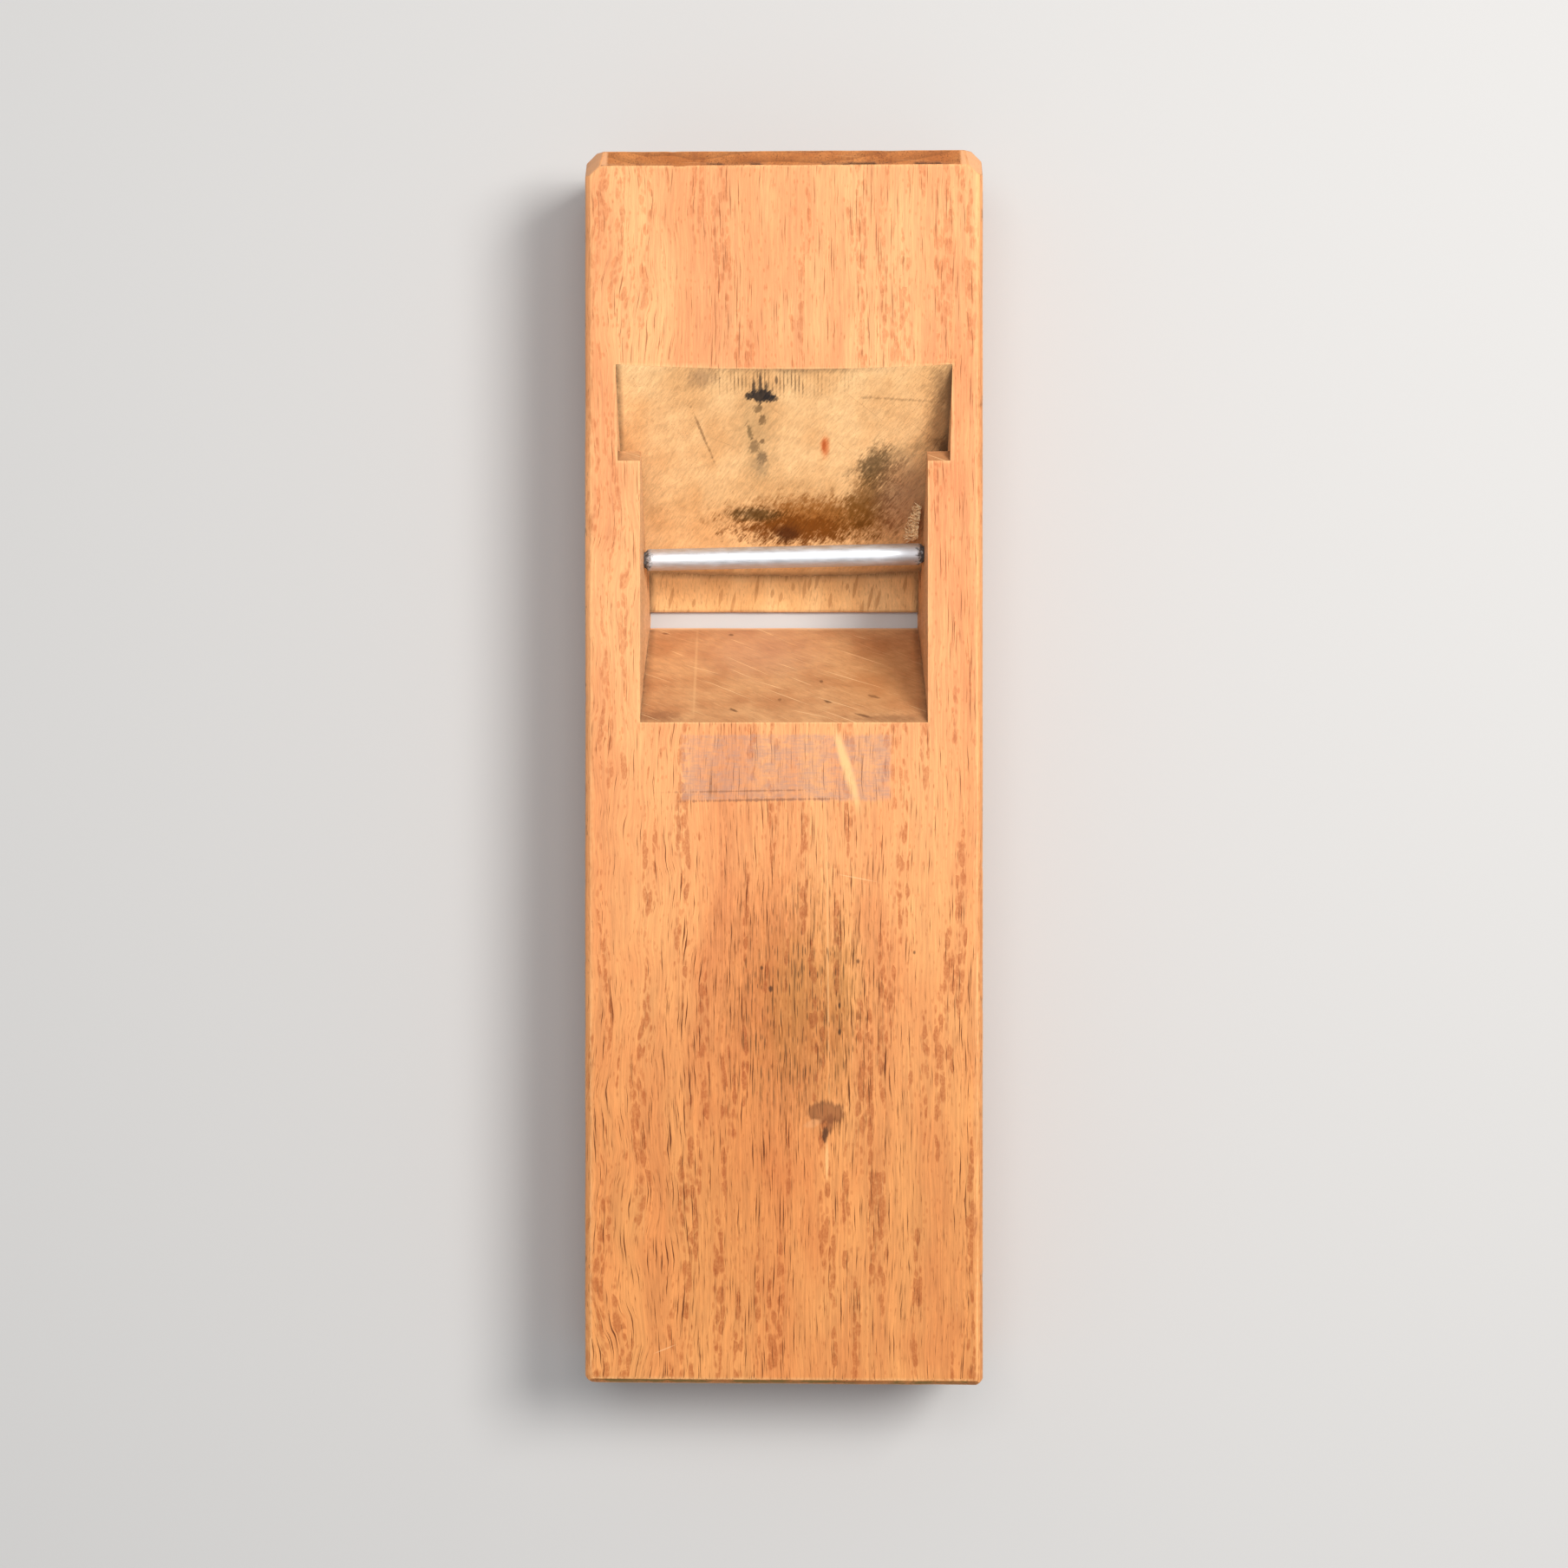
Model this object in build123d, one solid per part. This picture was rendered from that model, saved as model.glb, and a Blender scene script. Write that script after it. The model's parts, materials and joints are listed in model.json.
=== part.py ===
from build123d import *
import os
from math import atan, cos, degrees, radians, sin, sqrt, tan

# Japanese pull plane without its blade: an oak block with a throat, and a steel pin
# across the throat that holds the chip breaker down. Millimetres.
# Origin: centre of the sole. +Z is up, away from the sole. +Y points to the head, the
# end that is struck with a hammer. +X is to the right with the head ahead.

# Block
body_length = 280.0
body_height = 39.0
cheek_thickness = 7.0         # wood left outside the blade slot
top_bevel = 1.3               # long top edges and the tail's top edge
sole_bevel = 0.6              # long bottom edges
head_bevel = 4.2              # top edge of the head
head_corner_bevel = 2.4       # upright corners of the head
tail_corner_bevel = 1.4       # upright corners of the tail
head_facet_leg = 7.5          # top corners of the head, along each edge of the block
head_facet_slope = 60.0       # degrees from level

# Blade that the plane takes
blade_width = 70.0
blade_side_play = 3.0         # each side, at the top of the bed
blade_slot_thickness = 8.9    # square to the bed, at the shoulders
blade_foot_thickness = 7.0    # square to the bed, at the tongue
chip_breaker_room = 3.7       # above the blade, under the pin

# Mouth, the slot through the sole
mouth_from_head = 103.3       # head end to the back edge of the mouth
mouth_opening = 3.7
mouth_land = 0.6              # upright strip along the front edge
front_slope = 59.0            # degrees from level, chip escapement ahead of the mouth

# Throat between the cheeks
groove_depth = 5.55           # blade groove into each cheek, at the top face
cheek_lean = 0.25             # each cheek, from the top face down to the bend
cheek_foot_lean = 0.55        # each cheek, from the bend down to the sole
cheek_bend_height = 18.0

# Bed that carries the blade, and the tongue of wood under the blade's edge
bed_rise_per_ten = 8.0
bed_crown = 0.7               # the bed's middle stands above its sides
tongue_length = 9.9
tongue_lip = 1.8              # thickness of the tongue at the mouth
tongue_slope = 10.7           # degrees from level

# Blade slot
slot_side_taper = 1.3         # degrees, each side, narrowing to the mouth
shoulder_from_bed = 21.8      # top edge of the bed to the shoulders, on the top face
shoulder_slope = 57.0         # degrees from level

# Chip breaker pin
pin_diameter = 5.0
pin_height = 22.0             # axis above the sole
pin_skew = 1.25               # degrees in plan, right end nearer the head
pin_end_bevel = 1.1           # bare bevel between the cheek and the full diameter
pin_neck_diameter = 3.4       # where the pin enters the cheek
pin_tip_diameter = 1.2
pin_tip_length = 4.2          # driven into each cheek

# Derived sizes and places
past = 5.0                    # how far a cutter runs past the surface it opens
slot_width = blade_width + 2 * blade_side_play
body_width = slot_width + 2 * cheek_thickness
throat_half = slot_width / 2 - groove_depth
bend_half = throat_half - cheek_lean
mouth_half = bend_half - cheek_foot_lean
head_y = body_length / 2
tail_y = -body_length / 2
side_x = body_width / 2
mouth_back_y = head_y - mouth_from_head
mouth_front_y = mouth_back_y - mouth_opening
bed_slope = atan(bed_rise_per_ten / 10)
bed_foot_y = mouth_back_y + tongue_length
bed_foot_z = tongue_lip + tongue_length * tan(radians(tongue_slope))
bed_top_y = bed_foot_y + (body_height - bed_foot_z) / tan(bed_slope)


def side_prism(points, width):
    # A (Y, Z) outline, made into a prism across the block
    outline = Plane.YZ * make_face(Polyline(*points, close=True))
    return extrude(outline, amount=width / 2, both=True)


def end_prism(points, length):
    # An (X, Z) outline, made into a prism along the block
    outline = Plane.XZ * make_face(Polyline(*points, close=True))
    return extrude(outline, amount=length / 2, both=True)


def plan_prism(points, height):
    # An (X, Y) outline, made into an upright prism from the sole up
    return extrude(make_face(Polyline(*points, close=True)), amount=height)


def mirrored(points):
    # A right-hand outline and its left-hand mirror image, as one closed loop
    return points + [(-x, other) for x, other in reversed(points)]


def make_head_facet(side):
    # The half space that takes off one top corner of the head
    slope = radians(head_facet_slope)
    level = sin(slope) / sqrt(2)
    edge_point = (side * side_x, head_y - head_facet_leg, body_height)
    cut = Plane(origin=edge_point, z_dir=(side * level, level, cos(slope)))
    reach = 4 * head_facet_leg + body_height
    return cut * Box(reach, reach, reach, align=(Align.CENTER, Align.CENTER, Align.MIN))


def make_block():
    # The squared block with all its bevels, before the throat is cut
    section = [
        (side_x - sole_bevel, 0),
        (side_x, sole_bevel),
        (side_x, body_height - top_bevel),
        (side_x - top_bevel, body_height),
    ]
    profile = [
        (tail_y, 0),
        (head_y, 0),
        (head_y, body_height - head_bevel),
        (head_y - head_bevel, body_height),
        (tail_y + top_bevel, body_height),
        (tail_y, body_height - top_bevel),
    ]
    plan = [
        (side_x - tail_corner_bevel, tail_y),
        (side_x, tail_y + tail_corner_bevel),
        (side_x, head_y - head_corner_bevel),
        (side_x - head_corner_bevel, head_y),
    ]
    block = end_prism(mirrored(section), body_length)
    block = block & side_prism(profile, body_width)
    block = block & plan_prism(mirrored(plan), body_height)
    return block - make_head_facet(1) - make_head_facet(-1)


def make_bed():
    # Wood below the crowned bed: an arched section swept along the bed's slope
    slot_half = slot_width / 2
    reach_x = slot_half + past
    edge_drop = bed_crown * ((reach_x / slot_half) ** 2 - 1)
    across = Plane(
        origin=(0, bed_foot_y, bed_foot_z),
        x_dir=(1, 0, 0),
        z_dir=(0, cos(bed_slope), sin(bed_slope)),
    )
    crown = ThreePointArc((-reach_x, edge_drop), (0, -bed_crown), (reach_x, edge_drop))
    under = Polyline(
        (reach_x, edge_drop),
        (reach_x, body_height),
        (-reach_x, body_height),
        (-reach_x, edge_drop),
    )
    reach = 2 * body_height / sin(bed_slope)
    return extrude(across * make_face(crown + under), amount=reach, both=True)


def make_throat():
    # The open space between the cheeks, down through the mouth
    above = body_height + past
    under_bed = tongue_length + past
    front_top_y = mouth_front_y - (above - mouth_land) / tan(radians(front_slope))
    profile = [
        (mouth_front_y, -past),
        (mouth_back_y, -past),
        (mouth_back_y, tongue_lip),
        (mouth_back_y + under_bed, tongue_lip + under_bed * tan(radians(tongue_slope))),
        (bed_top_y + 3 * past, above),
        (front_top_y, above),
        (mouth_front_y, mouth_land),
    ]
    cheeks = [
        (mouth_half, -past),
        (mouth_half, 0),
        (bend_half, cheek_bend_height),
        (throat_half, body_height),
        (throat_half, above),
    ]
    return side_prism(profile, body_width) & end_prism(mirrored(cheeks), body_length)


def make_blade_slot():
    # The space the blade slides in: full width, with a sloping shoulder on each cheek
    slope = radians(shoulder_slope)
    edge_to_bed = shoulder_from_bed * sin(bed_slope)
    shoulder_face = (edge_to_bed - blade_slot_thickness) / sin(slope + bed_slope)
    shoulder_y = bed_top_y - shoulder_from_bed
    profile = [
        (bed_foot_y, bed_foot_z),
        (
            bed_foot_y - blade_foot_thickness * sin(bed_slope),
            bed_foot_z + blade_foot_thickness * cos(bed_slope),
        ),
        (shoulder_y + shoulder_face * cos(slope), body_height - shoulder_face * sin(slope)),
        (shoulder_y, body_height),
        (shoulder_y, body_height + past),
        (bed_top_y + 3 * past, body_height + past),
    ]
    taper = tan(radians(slot_side_taper))
    low_half = slot_width / 2 - (bed_top_y - mouth_back_y) * taper
    high_half = slot_width / 2 + 3 * past * taper
    plan = [(low_half, mouth_back_y), (high_half, bed_top_y + 3 * past)]
    return side_prism(profile, body_width) & plan_prism(mirrored(plan), body_height + past)


def make_pin():
    # A round bar with bevelled ends, each drawn out to a point that is driven into a cheek
    lean = cheek_lean / (body_height - cheek_bend_height)
    cheek_x = bend_half + lean * (pin_height - cheek_bend_height)
    half_profile = [
        (cheek_x - pin_end_bevel, pin_diameter / 2),
        (cheek_x, pin_neck_diameter / 2),
        (cheek_x + pin_tip_length, pin_tip_diameter / 2),
        (cheek_x + pin_tip_length, 0),
    ]
    outline = make_face(Polyline(*mirrored(half_profile), close=True))
    bar = revolve(outline, axis=Axis.X)
    bed_gap = blade_foot_thickness + chip_breaker_room
    bed_y = bed_foot_y + (pin_height - bed_foot_z) / tan(bed_slope)
    pin_y = bed_y - (bed_gap + pin_diameter / 2) / sin(bed_slope)
    return Pos(0, pin_y, pin_height) * Rot(0, 0, pin_skew) * bar


def make_plane_body(pin):
    # The block, opened for the throat and the blade, with a seat for each end of the pin
    opening = (make_throat() + make_blade_slot()) - make_bed()
    return make_block() - opening - pin


def write_part():
    os.makedirs("parts", exist_ok=True)
    pin = make_pin()
    nodes = {"plane_body": make_plane_body(pin), "retaining_pin": pin}
    for name, shape in nodes.items():
        export_step(shape, f"parts/{name}.step")
        print(name, round(shape.volume, 1), shape.bounding_box())
    print("bed slope in degrees", round(degrees(bed_slope), 2))


write_part()
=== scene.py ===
import json
import math
import random
import bmesh
import bpy
from mathutils import Matrix, Vector, kdtree, noise


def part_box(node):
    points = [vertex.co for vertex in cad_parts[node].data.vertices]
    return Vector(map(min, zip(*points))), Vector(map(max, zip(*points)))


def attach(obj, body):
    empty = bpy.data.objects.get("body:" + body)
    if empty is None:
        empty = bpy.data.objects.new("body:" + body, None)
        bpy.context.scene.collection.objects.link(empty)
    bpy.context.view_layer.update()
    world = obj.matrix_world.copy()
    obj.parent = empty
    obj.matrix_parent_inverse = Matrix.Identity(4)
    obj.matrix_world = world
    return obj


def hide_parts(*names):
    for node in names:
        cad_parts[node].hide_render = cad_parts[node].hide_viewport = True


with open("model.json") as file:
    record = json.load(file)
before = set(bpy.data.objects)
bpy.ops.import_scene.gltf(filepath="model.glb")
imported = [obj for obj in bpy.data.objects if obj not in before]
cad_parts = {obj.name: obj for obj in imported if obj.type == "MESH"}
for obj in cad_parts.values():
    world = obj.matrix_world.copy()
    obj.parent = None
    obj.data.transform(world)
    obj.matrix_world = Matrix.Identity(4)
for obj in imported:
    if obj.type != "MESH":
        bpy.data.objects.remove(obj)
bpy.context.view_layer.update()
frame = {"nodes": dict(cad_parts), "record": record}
mm = 0.001
throughAll = 1000.0        # mm; an oval patch or a mark counts at every height
sharpFrom = 38             # degrees; edges bent more than this stay sharp in the shading
blockLow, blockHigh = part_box("plane_body")
pinLow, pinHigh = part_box("retaining_pin")
mounts = {mount["name"]: mount for mount in frame["record"]["mounts"]}
topHeight = blockHigh.z
bedPoint = Vector(mounts["blade_seat"]["pos_m"])
bedUp = Vector(mounts["blade_seat"]["axis"])       # up along the bed, towards the head
bedNormal = Vector((0, -bedUp.z, bedUp.y))


def addObject(name, data):
    made = bpy.data.objects.new(name, data)
    bpy.context.scene.collection.objects.link(made)
    return made


# Camera, lights and floor

studio = {
    "eyeHeight": 750 * mm,            # above the top face
    "eyeOffset": -4.0 * mm,           # along the block from its middle
    "lens": 76.3,
    "sensor": 36.0,
    "skyColour": (0.93, 0.96, 1.0),
    "skyStrength": 0.42,
    "floorSize": 9.0,
    "floorColour": (0.50, 0.49, 0.48),
    "lights": [
        {"name": "key_softbox", "at": (0.52, 0.26, 1.00), "size": 0.42, "watts": 12.5,
         "colour": (1.0, 0.985, 0.96)},
        {"name": "overhead_softbox", "at": (-0.05, 0.22, 1.25), "size": 0.6, "watts": 6.0,
         "colour": (1.0, 1.0, 1.0)},
    ],
    "aim": (0, 0.03, topHeight),
}


def makeCamera():
    lens = bpy.data.cameras.new("top_camera")
    lens.lens = studio["lens"]
    lens.sensor_width = studio["sensor"]
    lens.clip_start = 0.01
    camera = addObject("top_camera", lens)
    camera.location = (0, studio["eyeOffset"], topHeight + studio["eyeHeight"])
    bpy.context.scene.camera = camera


def makeLights():
    for light in studio["lights"]:
        lamp = bpy.data.lights.new(light["name"], "AREA")
        lamp.size = light["size"]
        lamp.energy = light["watts"]
        lamp.color = light["colour"]
        lampObject = addObject(light["name"], lamp)
        lampObject.location = light["at"]
        aim = Vector(studio["aim"]) - Vector(light["at"])
        lampObject.rotation_euler = aim.to_track_quat("-Z", "Y").to_euler()
    sky = bpy.data.worlds.new("studio_sky")
    sky.use_nodes = True
    background = sky.node_tree.nodes["Background"]
    background.inputs["Color"].default_value = (*studio["skyColour"], 1)
    background.inputs["Strength"].default_value = studio["skyStrength"]
    bpy.context.scene.world = sky
    bpy.context.scene.view_settings.view_transform = "Standard"


def makeFloor():
    half = studio["floorSize"] / 2
    mesh = bpy.data.meshes.new("studio_floor")
    corners = [(-half, -half, 0), (half, -half, 0), (half, half, 0), (-half, half, 0)]
    mesh.from_pydata(corners, [], [(0, 1, 2, 3)])
    floor = addObject("studio_floor", mesh)
    paint = bpy.data.materials.new("pale_paper")
    paint.use_nodes = True
    surface = paint.node_tree.nodes["Principled BSDF"]
    surface.inputs["Base Color"].default_value = (*studio["floorColour"], 1)
    surface.inputs["Roughness"].default_value = 0.9
    mesh.materials.append(paint)


makeCamera()
makeLights()
makeFloor()
print("camera, lights and floor are placed")


# Short ways to build a node tree

def tint(red, green, blue):
    # a colour given in 0 to 255, made linear
    shares = [channel / 255 for channel in (red, green, blue)]
    return (*[c / 12.92 if c <= 0.04045 else ((c + 0.055) / 1.055) ** 2.4 for c in shares], 1)


class Bench:
    # one shader tree to work on; values may be numbers or other nodes' sockets
    prefix = "ShaderNode"

    def __init__(self, tree):
        self.tree = tree

    def feed(self, socket, value):
        if isinstance(value, bpy.types.NodeSocket):
            self.tree.links.new(value, socket)
        else:
            socket.default_value = value

    def add(self, kind, fed=None, **settings):
        node = self.tree.nodes.new(self.prefix + kind)
        for name, value in settings.items():
            setattr(node, name, value)
        for name, value in (fed or {}).items():
            self.feed(node.inputs[name], value)
        return node

    def maths(self, operation, *values):
        node = self.add("Math", operation=operation)
        for socket, value in zip(node.inputs, values):
            self.feed(socket, value)
        return node.outputs[0]

    def plus(self, first, second):
        return self.maths("ADD", first, second)

    def times(self, first, second):
        return self.maths("MULTIPLY", first, second)

    def stretch(self, place, across, along, up):
        # divides a place by the size that a pattern should have in each direction
        shares = (1 / across, 1 / along, 1 / up)
        return self.add("VectorMath", {0: place, 1: shares}, operation="MULTIPLY").outputs[0]

    def ramp(self, value, low, high, start=0.0, end=1.0):
        fed = {"Value": value, "From Min": low, "From Max": high, "To Min": start, "To Max": end}
        return self.add("MapRange", fed, interpolation_type="SMOOTHSTEP").outputs[0]

    def noise(self, place, detail=2.0, roughness=0.5):
        fed = {"Vector": place, "Scale": 1.0, "Detail": detail, "Roughness": roughness}
        return self.add("TexNoise", fed).outputs[0]

    def cloud(self, place, size, detail, roughness=0.5):
        return self.noise(self.stretch(place, *size), detail, roughness)

    def cells(self, place, metric="EUCLIDEAN", flat=False):
        fed = {"Vector": place, "Scale": 1.0, "Randomness": 1.0}
        size = "2D" if flat else "3D"
        return self.add("TexVoronoi", fed, distance=metric, voronoi_dimensions=size)

    def split(self, vector):
        return self.add("SeparateXYZ", {0: vector}).outputs

    def join(self, x, y, z):
        return self.add("CombineXYZ", {0: x, 1: y, 2: z}).outputs[0]

    def blend(self, factor, first, second, mode="MIX"):
        node = self.add("Mix", {0: factor, 6: first, 7: second}, data_type="RGBA", blend_type=mode)
        return node.outputs[2]

    def dim(self, colour, share):
        return self.blend(1.0, colour, self.join(share, share, share), "MULTIPLY")

    def use(self, group, fed):
        node = self.tree.nodes.new("ShaderNodeGroup")
        node.node_tree = group
        for name, value in fed.items():
            self.feed(node.inputs[name], value)
        return node.outputs


def startGroup(name, inputs, outputs):
    group = bpy.data.node_groups.new(name, "ShaderNodeTree")
    for label, value in inputs.items():
        kind = "NodeSocketVector" if isinstance(value, tuple) else "NodeSocketFloat"
        socket = group.interface.new_socket(label, in_out="INPUT", socket_type=kind)
        socket.default_value = value
    for label in outputs:
        group.interface.new_socket(label, in_out="OUTPUT", socket_type="NodeSocketFloat")
    given = group.nodes.new("NodeGroupInput").outputs
    result = group.nodes.new("NodeGroupOutput").inputs
    return group, Bench(group), given, result


# Shared effects: the figure of the oak, one oval patch, and fine straight marks

figure = {
    "rayChain": (2.5, 40.0, 3.6),      # mm between chains of ray flecks, across, along and up
    "bead": (1.35, 3.5, 1.9),           # each chain is a row of beads
    "smallBead": 0.62,                  # size of the small flecks beside these
    "pore": (0.46, 17.0, 0.46),
    "finePore": (0.40, 8.0, 0.40),
    "pith": (-12.0, -95.0),             # where the middle of the tree was, across and up
    "ringPitch": 2.9,
    "edgeRagged": 0.36,
    "curlFrom": -12.0,                  # the grain leans and curls left of here
    "curlFull": -34.0,
}


def makeOakFigure():
    inputs = {"Place": (0.0, 0.0, 0.0), "Fleck Amount": 1.0, "Pore Amount": 1.0}
    outputs = ["Fleck", "Small Fleck", "Pore", "Fibre", "Tone", "Ring"]
    group, bench, given, result = startGroup("oak_figure", inputs, outputs)
    place = given["Place"]
    x, y, z = bench.split(place)
    curly = bench.ramp(x, figure["curlFrom"], figure["curlFull"])
    lean = bench.plus(bench.cloud(place, (16, 34, 30), 1.0), -0.5)
    curl = bench.plus(bench.cloud(place, (6, 9, 14), 1.0), -0.5)
    ripple = bench.plus(bench.cloud(place, (1.6, 2.6, 4), 1.0), -0.5)
    shift = bench.times(lean, bench.ramp(curly, 0, 1, 2.4, 6.5))
    shift = bench.plus(shift, bench.times(curl, bench.ramp(curly, 0, 1, 0.6, 1.9)))
    shift = bench.plus(shift, bench.times(ripple, 0.25))
    grain = bench.join(bench.plus(x, shift), y, z)

    # rows of ray flecks: where a chain passes, its beads grow
    chains = bench.cells(bench.stretch(grain, *figure["rayChain"]))
    chance = bench.split(chains.outputs["Color"])[0]
    chainReach = bench.times(bench.ramp(chance, 0.0, 0.8, 0.22, 0.66), given["Fleck Amount"])
    chain = bench.ramp(bench.maths("SUBTRACT", chainReach, chains.outputs["Distance"]), -0.06, 0.26)
    ragged = bench.plus(bench.cloud(place, (0.5, 1.1, 1.2), 3.0, 0.65), -0.5)
    ragged = bench.times(ragged, figure["edgeRagged"])

    def beads(pitch, smallest, largest, softness):
        spots = bench.cells(bench.stretch(grain, *pitch))
        chance = bench.split(spots.outputs["Color"])[1]
        size = bench.ramp(chance, 0.0, 0.7, 0.35, 1.0)
        reach = bench.times(size, bench.ramp(chain, 0.0, 1.0, smallest, largest))
        away = bench.plus(spots.outputs["Distance"], ragged)
        return bench.ramp(bench.maths("SUBTRACT", reach, away), 0.0, softness)

    bench.feed(result["Fleck"], beads(figure["bead"], 0.02, 0.74, 0.26))
    smallBead = [side * figure["smallBead"] for side in figure["bead"]]
    bench.feed(result["Small Fleck"], beads(smallBead, 0.34, 0.56, 0.24))

    band = bench.cloud(grain, (7, 130, 6), 1.0)
    poreReach = bench.times(bench.ramp(band, 0.35, 0.66, 0.24, 0.37), given["Pore Amount"])

    def pores(size, share):
        tubes = bench.cells(bench.stretch(grain, *size), "MANHATTAN")
        reach = bench.times(poreReach, share)
        return bench.ramp(bench.maths("SUBTRACT", reach, tubes.outputs["Distance"]), 0.0, 0.09)

    large = pores(figure["pore"], 1.0)
    fine = bench.times(pores(figure["finePore"], 0.9), 0.6)
    bench.feed(result["Pore"], bench.maths("MAXIMUM", large, fine))
    streak = bench.cloud(grain, (0.50, 22, 0.50), 2.0, 0.6)
    hair = bench.cloud(grain, (0.16, 3.5, 0.16), 2.0, 0.6)
    bench.feed(result["Fibre"], bench.plus(bench.times(streak, 0.55), bench.times(hair, 0.45)))
    across = bench.plus(bench.split(grain)[0], -figure["pith"][0])
    above = bench.plus(z, -figure["pith"][1])
    radius = bench.maths("SQRT", bench.plus(bench.times(across, across), bench.times(above, above)))
    sway = bench.times(bench.cloud(place, (26, 80, 26), 2.0), 9.0)
    phase = bench.maths("FRACT", bench.maths("DIVIDE", bench.plus(radius, sway), figure["ringPitch"]))
    ring = bench.maths("MINIMUM", bench.times(phase, phase), bench.ramp(phase, 1.0, 0.86))
    bench.feed(result["Ring"], ring)
    broad = bench.cloud(grain, (10, 70, 9), 2.0, 0.55)
    cloud = bench.cloud(place, (9, 14, 9), 2.0, 0.5)
    bench.feed(result["Tone"], bench.plus(bench.times(broad, 0.65), bench.times(cloud, 0.35)))
    return group


def makeOvalSpot():
    # one oval mark seen from above; Fray is a pattern from 0 to 1 that breaks up its border
    inputs = {"Place": (0.0, 0.0, 0.0), "Centre": (0.0, 0.0, 0.0), "Half Size": (1.0, 1.0, throughAll),
              "Turn": (0.0, 0.0, 0.0), "Fray": 0.5, "Ragged": 0.5, "Softness": 0.5}
    group, bench, given, result = startGroup("stain_spot", inputs, ["Mask"])
    fed = {"Vector": given["Place"], "Location": given["Centre"], "Rotation": given["Turn"],
           "Scale": given["Half Size"]}
    local = bench.add("Mapping", fed, vector_type="TEXTURE").outputs[0]
    radius = bench.add("VectorMath", {0: local}, operation="LENGTH").outputs["Value"]
    uneven = bench.plus(given["Fray"], -0.5)
    frayed = bench.plus(radius, bench.times(uneven, bench.times(given["Ragged"], 2.0)))
    inner = bench.maths("SUBTRACT", 1.0, given["Softness"])
    outer = bench.plus(1.0, bench.times(given["Softness"], 0.6))
    bench.feed(result["Mask"], bench.ramp(frayed, outer, inner))
    return group


def makeStraightMarks():
    # thin straight marks, each with its own length and a slight slant, tapering at both ends
    inputs = {"Place": (0.0, 0.0, 0.0), "Turn": (0.0, 0.0, 0.0), "Spacing": 3.0, "Length": 12.0,
              "Width": 0.15, "Amount": 0.5, "Slant": 0.1}
    group, bench, given, result = startGroup("straight_marks", inputs, ["Mask"])
    fed = {"Vector": given["Place"], "Rotation": given["Turn"]}
    local = bench.add("Mapping", fed, vector_type="TEXTURE").outputs[0]
    x, y = bench.split(local)[:2]
    across = bench.maths("DIVIDE", x, given["Spacing"])
    along = bench.maths("DIVIDE", y, given["Length"])
    spots = bench.cells(bench.join(across, along, 0.0), flat=True)
    spotAt = bench.split(spots.outputs["Position"])
    chance = bench.split(spots.outputs["Color"])
    aside = bench.times(bench.maths("SUBTRACT", across, spotAt[0]), given["Spacing"])
    ahead = bench.maths("SUBTRACT", along, spotAt[1])
    slant = bench.times(bench.times(bench.plus(chance[1], -0.5), given["Slant"]), given["Length"])
    aside = bench.maths("ABSOLUTE", bench.plus(aside, bench.times(ahead, slant)))
    reach = bench.ramp(chance[2], 0.0, 1.0, 0.12, 0.5)
    taper = bench.maths("DIVIDE", ahead, reach)
    taper = bench.maths("SUBTRACT", 1.0, bench.times(taper, taper))
    width = bench.times(bench.times(given["Width"], 0.5), taper)
    inside = bench.ramp(bench.maths("SUBTRACT", width, aside), 0.0, bench.times(given["Width"], 0.25))
    bench.feed(result["Mask"], bench.times(inside, bench.maths("LESS_THAN", chance[0], given["Amount"])))
    return group


oakFigure = makeOakFigure()
ovalSpot = makeOvalSpot()
straightMarks = makeStraightMarks()
print("shared wood effects are built")


# Oak materials, one for each worked surface of the block

def turnOf(degrees):
    return (0.0, 0.0, math.radians(degrees))


def startMaterial(name):
    material = bpy.data.materials.new(name)
    material.use_nodes = True
    bench = Bench(material.node_tree)
    surface = material.node_tree.nodes["Principled BSDF"]
    coordinates = bench.add("TexCoord").outputs["Object"]
    place = bench.stretch(coordinates, mm, mm, mm)        # in mm, as every pattern is sized
    return material, bench, surface, place


def spot(at, half, colour, strength, ragged=0.6, soft=0.5, turn=0.0, mode="MIX"):
    # one oval patch of colour, used for stains and, on the bed, for painted shadows: its middle and half its
    # size in mm, its colour in 0 to 255, and how its border ends
    oval = {"at": at, "half": half, "ragged": ragged, "soft": soft, "turn": turn}
    return {"oval": oval, "colour": tint(*colour), "strength": strength, "mode": mode}


def ovalMask(bench, place, fray, oval):
    fed = {"Place": place, "Centre": (*oval["at"], 0.0), "Half Size": (*oval["half"], throughAll),
           "Turn": turnOf(oval["turn"]), "Fray": fray, "Ragged": oval["ragged"], "Softness": oval["soft"]}
    return bench.use(ovalSpot, fed)["Mask"]


# lays oval patches of colour over a surface: stains, and on the bed also painted shadows
def addPatches(bench, place, colour, fray, patches, over=1.0):
    for patchEntry in patches:
        mask = ovalMask(bench, place, fray, patchEntry["oval"])
        mask = bench.times(mask, bench.times(over, patchEntry["strength"]))
        colour = bench.blend(mask, colour, patchEntry["colour"], patchEntry["mode"])
    return colour


def addMarks(bench, place, colour, marks, over=1.0):
    for mark in marks:
        fed = {"Place": place, "Turn": turnOf(mark["turn"]), "Spacing": mark["spacing"],
               "Length": mark["length"], "Width": mark["width"], "Amount": mark["amount"],
               "Slant": mark.get("slant", 0.1)}
        mask = bench.use(straightMarks, fed)["Mask"]
        mask = bench.times(mask, bench.times(over, mark["strength"]))
        colour = bench.blend(mask, colour, mark["colour"])
    return colour


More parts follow.
